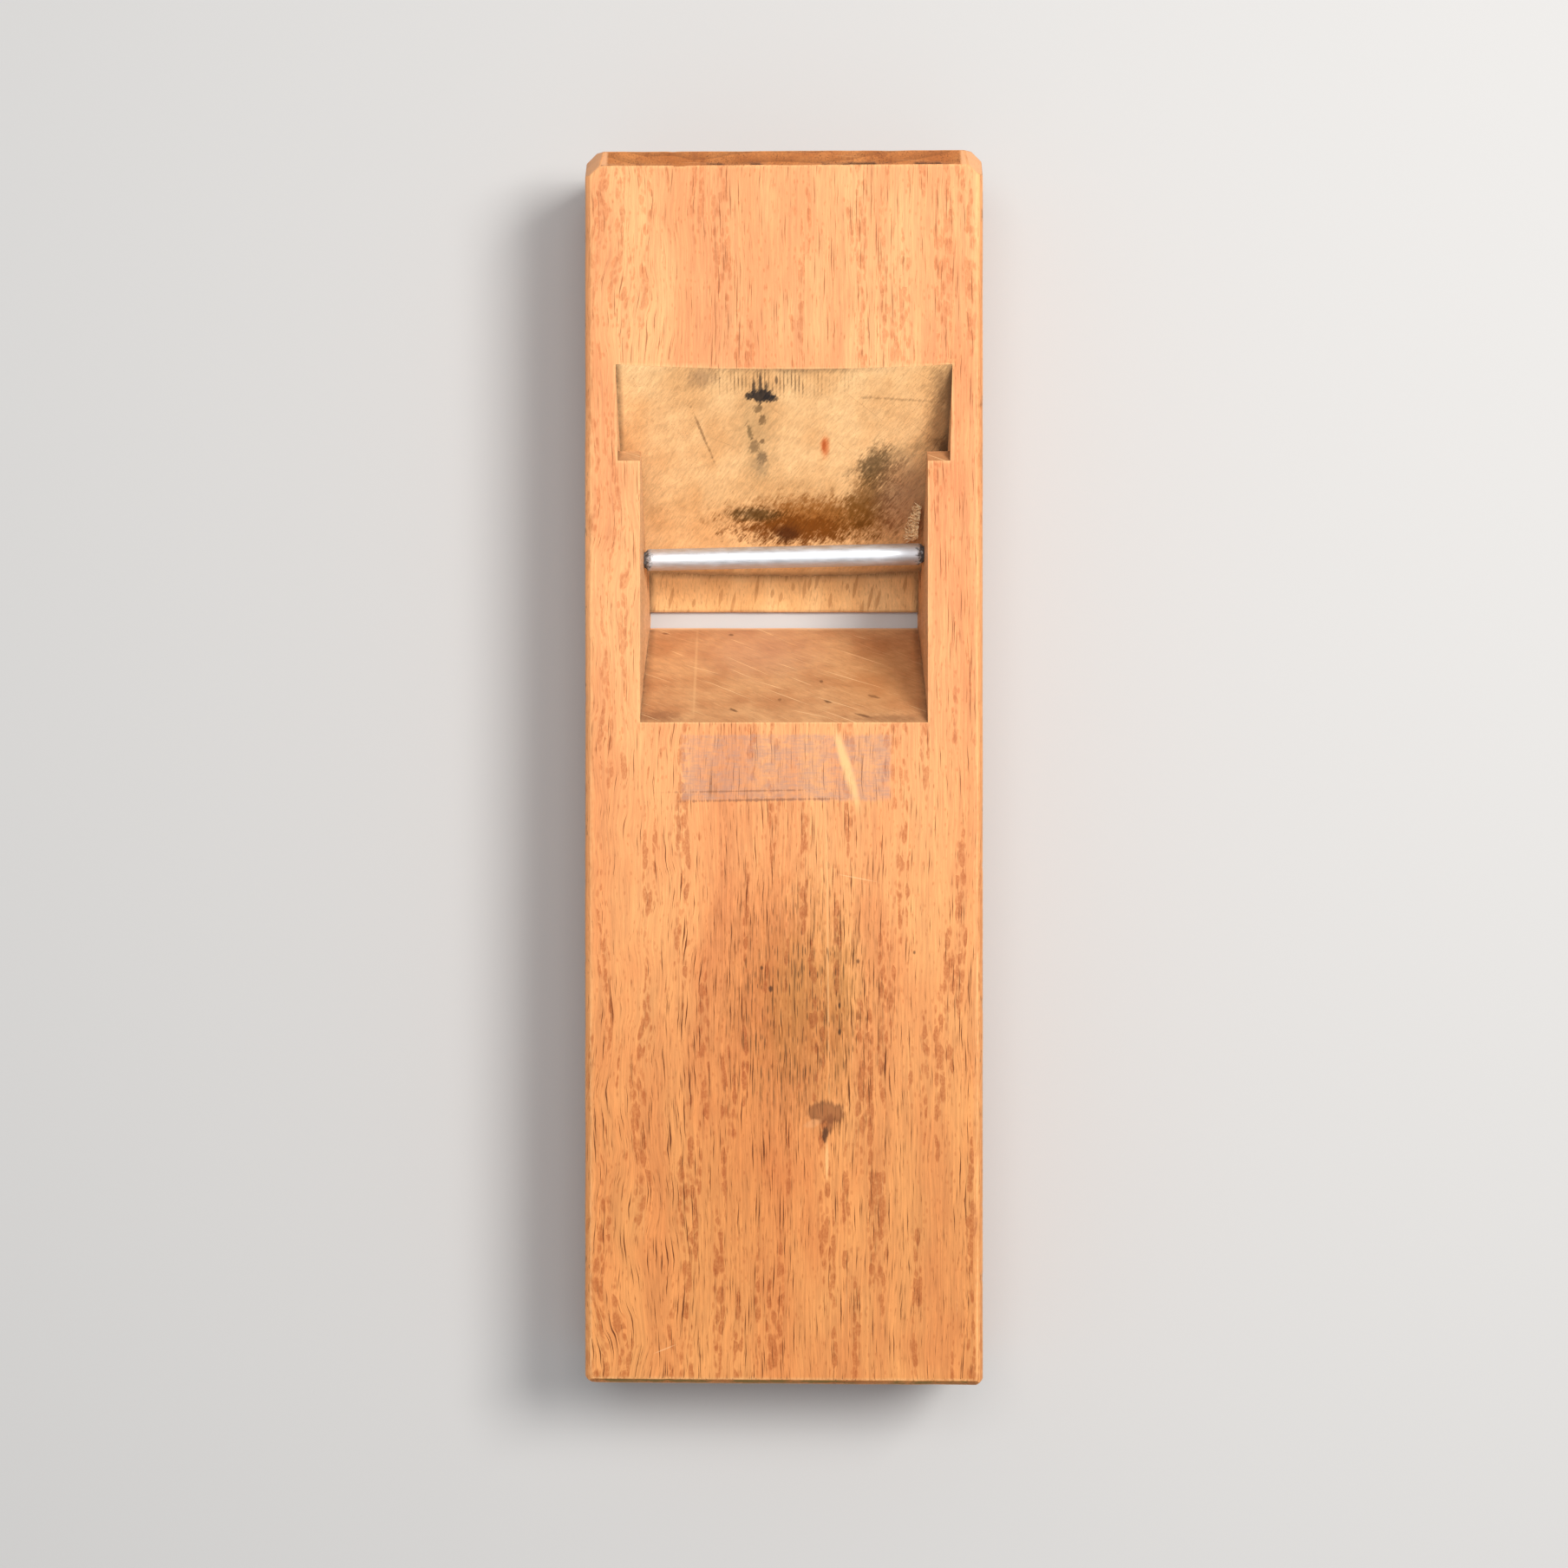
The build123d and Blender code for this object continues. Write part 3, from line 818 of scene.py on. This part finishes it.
# how far each outer surface of the block reaches in from its box
reachIn = {
    "head": 4.3 * mm,
    "tail": 1.5 * mm,
    "top": 0.4 * mm,
    "sole": 0.7 * mm,
    "sides": 1.4 * mm,
    "sideArris": 2.0 * mm,
    "endArris": 5 * mm,
}
chosenNicks = [
    # place, reach and depth in mm
    {"at": (-31.6, 33.1, 0.4), "reach": 1.3, "depth": 0.55},
    {"at": (-23.6, 135.8, 39.0), "reach": 2.2, "depth": 0.35},
    {"at": (-43.7, 51.0, 39.0), "reach": 2.0, "depth": 0.40},
    {"at": (-43.7, -36.0, 39.0), "reach": 2.6, "depth": 0.30},
    {"at": (38.0, 91.0, 39.0), "reach": 1.6, "depth": 0.45},
    {"at": (32.5, 66.0, 39.0), "reach": 1.4, "depth": 0.35},
    {"at": (-32.6, 60.5, 39.0), "reach": 1.5, "depth": 0.30},
]
surfaceNames = list(oakMaterials)


def surfaceOf(normal, middle):
    # which worked surface of the block a flat part belongs to
    if middle.y > blockHigh.y - reachIn["head"] and normal.y > 0.3:
        return "end"
    if middle.y < blockLow.y + reachIn["tail"] and normal.y < -0.3:
        return "end"
    if middle.z > topHeight - reachIn["top"] and normal.z > 0.9:
        return "face"
    if middle.z < reachIn["sole"] and normal.z < -0.5:
        return "face"
    if blockHigh.x - abs(middle.x) < reachIn["sides"]:
        return "face"
    if normal.dot(bedNormal) > 0.98:
        return "bed"
    if normal.z > 0.9:
        return "tongue"
    if normal.y > 0.75 and normal.z > 0.3:
        return "slope"
    return "cheek"


def cutEvery(bm, axis, step):
    # parallel cuts square to one axis; what lies behind the last cut is finished
    low = blockLow[axis]
    high = blockHigh[axis]
    ahead = bm.verts[:] + bm.edges[:] + bm.faces[:]
    margin = block["cutMargin"]
    square = Vector((0, 0, 0))
    square[axis] = 1
    count = int((high - low) / step)
    for number in range(1, count + 1):
        place = low + number * (high - low) / (count + 1)
        done = bmesh.ops.bisect_plane(bm, geom=ahead, dist=margin, plane_co=square * place, plane_no=square)
        ahead = []
        for part in done["geom"]:
            corners = [part] if isinstance(part, bmesh.types.BMVert) else part.verts
            if max(corner.co[axis] for corner in corners) > place - margin:
                ahead.append(part)


def isOutside(point):
    atSide = abs(point.x) > blockHigh.x - reachIn["sideArris"]
    return atSide or abs(point.y) > blockHigh.y - reachIn["endArris"]


def cutBlock():
    bm = bmesh.new()
    bm.from_mesh(frame["nodes"]["plane_body"].data)
    bmesh.ops.remove_doubles(bm, verts=bm.verts, dist=block["mergeBefore"])
    bmesh.ops.dissolve_limit(bm, angle_limit=block["flatWithin"], verts=bm.verts, edges=bm.edges)
    bm.normal_update()
    lines = {"outer": [], "throat": [], "hollow": []}
    edges = {"outer": [], "throat": []}
    for part in bm.faces:
        part.material_index = surfaceNames.index(surfaceOf(part.normal, part.calc_center_median()))
    for edge in bm.edges:
        angle = edge.calc_face_angle_signed(0)
        ends = [corner.co.copy() for corner in edge.verts]
        if angle > block["bentFrom"]:
            where = "outer" if isOutside(ends[0]) and isOutside(ends[1]) else "throat"
            lines[where].append(ends)
            edges[where].append(edge)
        elif angle < -block["bentFrom"]:
            lines["hollow"].append(ends)
    for where, size in (("outer", block["outerRound"]), ("throat", block["throatRound"])):
        sharp = [edge for edge in edges[where] if edge.is_valid]
        bmesh.ops.bevel(bm, geom=sharp, offset=size, segments=block["roundSegments"], profile=0.5,
                        affect="EDGES", clamp_overlap=True)
    for axis in (1, 0, 2):
        cutEvery(bm, axis, block["grid"][axis])
    bmesh.ops.remove_doubles(bm, verts=bm.verts, dist=block["mergeAfter"])
    return bm, lines


def pointsAlong(lines):
    points = []
    for start, end in lines:
        count = max(1, int((end - start).length / block["traceStep"]))
        points += [start.lerp(end, number / count) for number in range(count + 1)]
    return points


def treeOf(points):
    tree = kdtree.KDTree(len(points))
    for number, point in enumerate(points):
        tree.insert(point, number)
    tree.balance()
    return tree


def chooseNicks(points):
    dice = random.Random(block["seed"])
    nicks = [(Vector(nick["at"]) * mm, nick["reach"] * mm, nick["depth"] * mm) for nick in chosenNicks]
    for number in range(block["nicks"]):
        at = dice.choice(points)
        reach = dice.uniform(*block["nickSize"])
        nicks.append((at, reach, dice.uniform(*block["nickDepth"])))
    return nicks


def smooth(value):
    value = min(1.0, max(0.0, value))
    return value * value * (3 - 2 * value)


def skewEnds(point):
    # the left side is a little shorter than the right
    toHead = smooth((point.y - (blockHigh.y - block["skewReach"])) / block["skewReach"])
    toTail = smooth((blockLow.y + block["skewReach"] - point.y) / block["skewReach"])
    left = 0.5 - point.x / (blockHigh.x - blockLow.x)
    return left * (toTail * block["endSkew"][1] - toHead * block["endSkew"][0])


def finishMesh(bm, name, materials):
    mesh = bpy.data.meshes.new(name)
    bm.to_mesh(mesh)
    bm.free()
    for material in materials:
        mesh.materials.append(material)
    mesh.polygons.foreach_set("use_smooth", [True] * len(mesh.polygons))
    mesh.set_sharp_from_angle(angle=math.radians(sharpFrom))
    return mesh


def makeBlock():
    bm, lines = cutBlock()
    bmesh.ops.recalc_face_normals(bm, faces=bm.faces)
    bm.normal_update()
    arrisPoints = pointsAlong(lines["outer"] + lines["throat"])
    arrisTree = treeOf(arrisPoints)
    hollowTree = treeOf(pointsAlong(lines["hollow"]))
    nicks = chooseNicks(arrisPoints)
    nickTree = treeOf([nick[0] for nick in nicks])
    farthest = max(nick[1] for nick in nicks)
    arrisLayer = bm.verts.layers.float.new("arris")
    hollowLayer = bm.verts.layers.float.new("hollow")
    chiselled = {surfaceNames.index(name) for name in ("bed", "slope", "cheek")}
    moves = []
    for corner in bm.verts:
        point = corner.co
        toArris = arrisTree.find(point)[2]
        toHollow = hollowTree.find(point)[2]
        corner[arrisLayer] = smooth(1 - toArris / block["arrisGlow"])
        corner[hollowLayer] = smooth(1 - toHollow / block["hollowReach"])
        rough = any(part.material_index in chiselled for part in corner.link_faces)
        pitch = block["chiselPitch"] if rough else block["wavePitch"]
        depth = block["chiselWave"] if rough else block["wave"]
        push = depth * (0.5 + 0.5 * noise.noise(point / pitch))
        wear = max(0.0, noise.noise(point / block["wearPitch"] + Vector((3, 7, 1))) + 0.25)
        push += block["arrisWear"] * wear * smooth(1 - toArris / block["wearReach"])
        for place, number, far in nickTree.find_range(point, farthest):
            reach, deep = nicks[number][1:]
            crumbled = 0.6 + 0.8 * abs(noise.noise(point / block["nickGrain"]))
            push += deep * smooth(1 - far / reach) * crumbled
        moves.append((corner, corner.normal * -push + Vector((0, skewEnds(point), 0))))
    for corner, move in moves:
        corner.co += move
    mesh = finishMesh(bm, "oak_block", oakMaterials.values())
    piece = addObject("oak_block", mesh)
    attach(piece, "root")
    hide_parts("plane_body")
    triangles = sum(len(part.vertices) - 2 for part in mesh.polygons)
    print("oak block:", len(mesh.vertices), "points,", triangles, "triangles")


makeBlock()


# Chip breaker pin: a round steel bar, bitten and darkened where it enters the cheeks

pin = {
    "radius": 2.5 * mm,
    "neckRadius": 1.7 * mm,
    "tipRadius": 0.6 * mm,
    "tipLength": 4.2 * mm,
    "endBevel": 1.1 * mm,
    "skew": 1.25,                     # degrees in plan, right end nearer the head
    "sides": 64,
    "ring": 0.30 * mm,
    "dullWave": 0.018 * mm,
    "wavePitch": 4 * mm,
    "bite": 0.42 * mm,
    "bitePitch": 0.45 * mm,
    "biteFrom": 0.3 * mm,             # the bite is deepest this far before the neck
    "biteReach": 1.5 * mm,
    "base": (0.70, 0.72, 0.75, 1),
    "darkening": tint(58, 48, 40),
}


def pinRadius(along, cheekAt):
    # the plain turned shape, before dents
    if along < cheekAt - pin["endBevel"]:
        return pin["radius"]
    if along < cheekAt:
        share = (along - cheekAt + pin["endBevel"]) / pin["endBevel"]
        return pin["radius"] + (pin["neckRadius"] - pin["radius"]) * share
    share = min(1.0, (along - cheekAt) / pin["tipLength"])
    return pin["neckRadius"] + (pin["tipRadius"] - pin["neckRadius"]) * share


def makePinSteel():
    material, bench, surface, place = startMaterial("satin_steel")
    x = bench.split(place)[0]
    drawn = bench.cloud(place, (7, 0.16, 0.16), 2.0, 0.6)
    cloud = bench.cloud(place, (3.0, 1.2, 1.2), 3.0, 0.6)
    speck = bench.cloud(place, (0.34, 0.26, 0.26), 2.0, 0.6)
    dark = bench.ramp(speck, 0.68, 0.74)
    shade = bench.plus(bench.ramp(drawn, 0.3, 0.7, 0.94, 1.04), bench.ramp(cloud, 0.3, 0.7, -0.05, 0.04))
    colour = bench.dim(pin["base"], shade)
    colour = bench.blend(bench.times(dark, 0.55), colour, tint(84, 80, 78))
    ends = bench.maths("ABSOLUTE", x)
    uneven = bench.cloud(place, (0.8, 0.7, 0.7), 3.0, 0.65)
    ends = bench.plus(ends, bench.ramp(uneven, 0.2, 0.8, -1.0, 1.0))
    reach = pinHigh.x / mm - pin["tipLength"] / mm
    darkening = bench.ramp(ends, reach - 1.9, reach - 0.5)
    colour = bench.blend(bench.times(darkening, 0.9), colour, pin["darkening"])
    bench.feed(surface.inputs["Base Color"], colour)
    dull = bench.plus(darkening, bench.times(dark, 0.5))
    bench.feed(surface.inputs["Metallic"], bench.ramp(dull, 0.0, 1.0, 1.0, 0.15))
    rough = bench.plus(bench.ramp(cloud, 0.3, 0.7, 0.54, 0.66), bench.times(darkening, 0.35))
    bench.feed(surface.inputs["Roughness"], rough)
    height = bench.times(drawn, 0.02)
    height = bench.plus(height, bench.plus(bench.times(dark, -0.03), bench.times(speck, 0.015)))
    bump = bench.add("Bump", {"Height": height, "Strength": 0.7, "Distance": mm})
    bench.feed(surface.inputs["Normal"], bump.outputs[0])
    return material


def makePin():
    tipAt = pinHigh.x
    cheekAt = tipAt - pin["tipLength"]
    middle = (pinLow + pinHigh) / 2
    turn = Matrix.Translation(middle) @ Matrix.Rotation(math.radians(pin["skew"]), 4, "Z")
    count = 2 * int(tipAt / pin["ring"])
    bm = bmesh.new()
    rings = []
    for number in range(count + 1):
        along = -tipAt + 2 * tipAt * number / count
        ring = []
        for side in range(pin["sides"]):
            angle = 2 * math.pi * side / pin["sides"]
            aside = Vector((0, math.cos(angle), math.sin(angle)))
            radius = pinRadius(abs(along), cheekAt)
            point = Vector((along, 0, 0)) + aside * radius
            wave = noise.noise(Vector((along / pin["wavePitch"], angle * 1.5, 0)))
            dull = pin["dullWave"] * (0.5 + 0.5 * wave)
            near = smooth(1 - abs(abs(along) - cheekAt + pin["biteFrom"]) / pin["biteReach"])
            ragged = noise.turbulence(point / pin["bitePitch"] / 2, 2, False)
            radius -= dull + near * pin["bite"] * min(1.0, ragged)
            ring.append(bm.verts.new(turn @ (Vector((along, 0, 0)) + aside * radius)))
        rings.append(ring)
    for first, second in zip(rings, rings[1:]):
        for side in range(pin["sides"]):
            after = (side + 1) % pin["sides"]
            bm.faces.new((first[side], first[after], second[after], second[side]))
    bm.faces.new(rings[0])
    bm.faces.new(rings[-1])
    bmesh.ops.recalc_face_normals(bm, faces=bm.faces)
    mesh = finishMesh(bm, "steel_pin", [makePinSteel()])
    piece = addObject("steel_pin", mesh)
    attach(piece, "root")
    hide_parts("retaining_pin")
    print("steel pin:", len(mesh.polygons), "faces")


makePin()


# Torn fibres on the right cheek, on the head's side of the pin

splinters = {
    "Count": 170,
    "Seed": 5,
    "Length": 1.9 * mm,
    "Thickness": 0.42 * mm,
    "Bend": 0.45 * mm,
    "tip": 0.12,                      # thickness at the tip beside that at the root
    "sides": 5,
    "leanFrom": (-0.75, -0.9, -3.1),
    "leanTo": (0.75, 0.5, 3.1),
    "scales": (0.35, 1.25),
    # the torn patch: where it starts and ends across and along the block, in mm
    "patchFrom": (31.1, 53.0),
    "patchTo": (31.8, 60.5),
    "patchRows": 10,
    "patchHeight": 7.5 * mm,
    "patchTaper": 0.75,               # share of the height lost at the far end
    "patchLean": 1.7 * mm,            # beside the pin, its foot stands this far into the throat
}


def makeTornWood():
    material, bench, surface, place = startMaterial("torn_oak")
    grain = bench.cloud(place, (0.25, 0.6, 0.3), 3.0, 0.6)
    # near-white: the pale colour of fresh torn oak, made paler still as painted light, since the fibres
    # stand in the cheek's shade
    colour = bench.blend(bench.ramp(grain, 0.3, 0.7), tint(255, 226, 176), tint(236, 188, 134))
    deep = bench.ramp(bench.cloud(place, (0.9, 0.9, 0.9), 2.0), 0.5, 0.66)
    colour = bench.blend(bench.times(deep, 0.5), colour, tint(150, 98, 56))
    bench.feed(surface.inputs["Base Color"], colour)
    surface.inputs["Roughness"].default_value = 0.8
    bump = bench.add("Bump", {"Height": grain, "Strength": 0.5, "Distance": 0.1 * mm})
    bench.feed(surface.inputs["Normal"], bump.outputs[0])
    return material


class GeometryBench(Bench):
    # one geometry tree to work on; the kinds of node are given in full
    prefix = ""

    def __init__(self, name, inputs):
        self.tree = bpy.data.node_groups.new(name, "GeometryNodeTree")
        self.tree.interface.new_socket("Geometry", in_out="INPUT", socket_type="NodeSocketGeometry")
        self.tree.interface.new_socket("Geometry", in_out="OUTPUT", socket_type="NodeSocketGeometry")
        self.sockets = {}
        for label, value in inputs.items():
            kind = {int: "NodeSocketInt", float: "NodeSocketFloat"}.get(type(value), "NodeSocketMaterial")
            made = self.tree.interface.new_socket(label, in_out="INPUT", socket_type=kind)
            self.sockets[label] = made.identifier
        self.given = self.tree.nodes.new("NodeGroupInput").outputs
        self.result = self.tree.nodes.new("NodeGroupOutput").inputs

    def maths(self, operation, first, second):
        return self.add("ShaderNodeMath", {0: first, 1: second}, operation=operation).outputs[0]


def makeSplinterTree(inputs):
    bench = GeometryBench("torn_fibres", inputs)
    given = bench.given
    negative = bench.times(given["Bend"], -1.0)
    start = bench.add("ShaderNodeCombineXYZ", {2: 0.0}).outputs[0]
    middle = bench.add("ShaderNodeCombineXYZ", {0: given["Bend"], 2: given["Length"]}).outputs[0]
    end = bench.add("ShaderNodeCombineXYZ", {0: negative, 2: given["Length"]}).outputs[0]
    fed = {"Resolution": 5, "Start": start, "Middle": middle, "End": end}
    arc = bench.add("GeometryNodeCurveQuadraticBezier", fed)
    along = bench.add("GeometryNodeSplineParameter").outputs["Factor"]
    fed = {"Value": along, "From Min": 0.0, "From Max": 1.0, "To Min": 1.0, "To Max": splinters["tip"]}
    thin = bench.add("ShaderNodeMapRange", fed)
    radius = bench.times(thin.outputs[0], given["Thickness"])
    shaped = bench.add("GeometryNodeSetCurveRadius", {"Curve": arc.outputs[0], "Radius": radius})
    fed = {"Resolution": splinters["sides"], "Radius": 1.0}
    outline = bench.add("GeometryNodeCurvePrimitiveCircle", fed)
    fed = {"Curve": shaped.outputs[0], "Profile Curve": outline.outputs[0], "Fill Caps": True,
           "Scale": radius}
    splinter = bench.add("GeometryNodeCurveToMesh", fed)
    fed = {"Mesh": given["Geometry"], "Seed": given["Seed"]}
    spread = bench.add("GeometryNodeDistributePointsOnFaces", fed)
    area = bench.add("GeometryNodeAttributeStatistic", {"Geometry": given["Geometry"]}, domain="FACE")
    faceArea = bench.add("GeometryNodeInputMeshFaceArea").outputs[0]
    bench.tree.links.new(faceArea, area.inputs["Attribute"])
    density = bench.maths("DIVIDE", given["Count"], area.outputs["Sum"])
    bench.tree.links.new(density, spread.inputs["Density"])
    wild = bench.add("FunctionNodeRandomValue", {"Seed": given["Seed"]}, data_type="FLOAT_VECTOR")
    wild.inputs[0].default_value = splinters["leanFrom"]
    wild.inputs[1].default_value = splinters["leanTo"]
    fed = {"Rotation": spread.outputs["Rotation"], "Rotate By": wild.outputs[0]}
    lean = bench.add("FunctionNodeRotateEuler", fed, space="LOCAL")
    size = bench.add("FunctionNodeRandomValue", {"Seed": given["Seed"]}, data_type="FLOAT")
    size.inputs[2].default_value = splinters["scales"][0]
    size.inputs[3].default_value = splinters["scales"][1]
    placed = bench.add("GeometryNodeInstanceOnPoints", {
        "Points": spread.outputs["Points"], "Instance": splinter.outputs[0], "Rotation": lean.outputs[0],
        "Scale": size.outputs[1]})
    real = bench.add("GeometryNodeRealizeInstances", {"Geometry": placed.outputs[0]})
    fed = {"Geometry": real.outputs[0], "Material": given["Material"]}
    painted = bench.add("GeometryNodeSetMaterial", fed)
    bench.tree.links.new(painted.outputs[0], bench.result[0])
    return bench


def makePatch():
    # the torn strip of the cheek that the fibres stand on, facing the throat
    x0, y0 = splinters["patchFrom"]
    x1, y1 = splinters["patchTo"]
    count = splinters["patchRows"]
    bm = bmesh.new()
    rows = []
    for number in range(count + 1):
        share = number / count
        y = (y0 + (y1 - y0) * share) * mm
        x = (x0 + (x1 - x0) * share) * mm
        foot = bedPoint.z + (y - bedPoint.y) * bedUp.z / bedUp.y
        high = foot + splinters["patchHeight"] * (1 - splinters["patchTaper"] * share)
        inward = x - splinters["patchLean"] * (1 - share)
        rows.append((bm.verts.new((inward, y, foot)), bm.verts.new((x, y, high))))
    for first, second in zip(rows, rows[1:]):
        bm.faces.new((first[0], first[1], second[1], second[0]))
    bm.normal_update()
    mesh = bpy.data.meshes.new("torn_patch")
    bm.to_mesh(mesh)
    bm.free()
    if mesh.polygons[0].normal.x > 0:
        mesh.flip_normals()
    return addObject("torn_patch", mesh)


def makeTornFibres():
    patch = makePatch()
    values = {label: splinters[label] for label in ("Count", "Seed", "Length", "Thickness", "Bend")}
    values["Material"] = makeTornWood()
    bench = makeSplinterTree(values)
    modifier = patch.modifiers.new("torn_fibres", "NODES")
    modifier.node_group = bench.tree
    for label, value in values.items():
        modifier[bench.sockets[label]] = value
    view = bpy.context.evaluated_depsgraph_get()
    mesh = bpy.data.meshes.new_from_object(patch.evaluated_get(view))
    bpy.data.objects.remove(patch)
    bm = bmesh.new()
    bm.from_mesh(mesh)
    bmesh.ops.recalc_face_normals(bm, faces=bm.faces)
    bm.to_mesh(mesh)
    bm.free()
    piece = addObject("torn_fibres", mesh)
    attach(piece, "root")
    print("torn fibres:", len(mesh.polygons), "faces")


makeTornFibres()
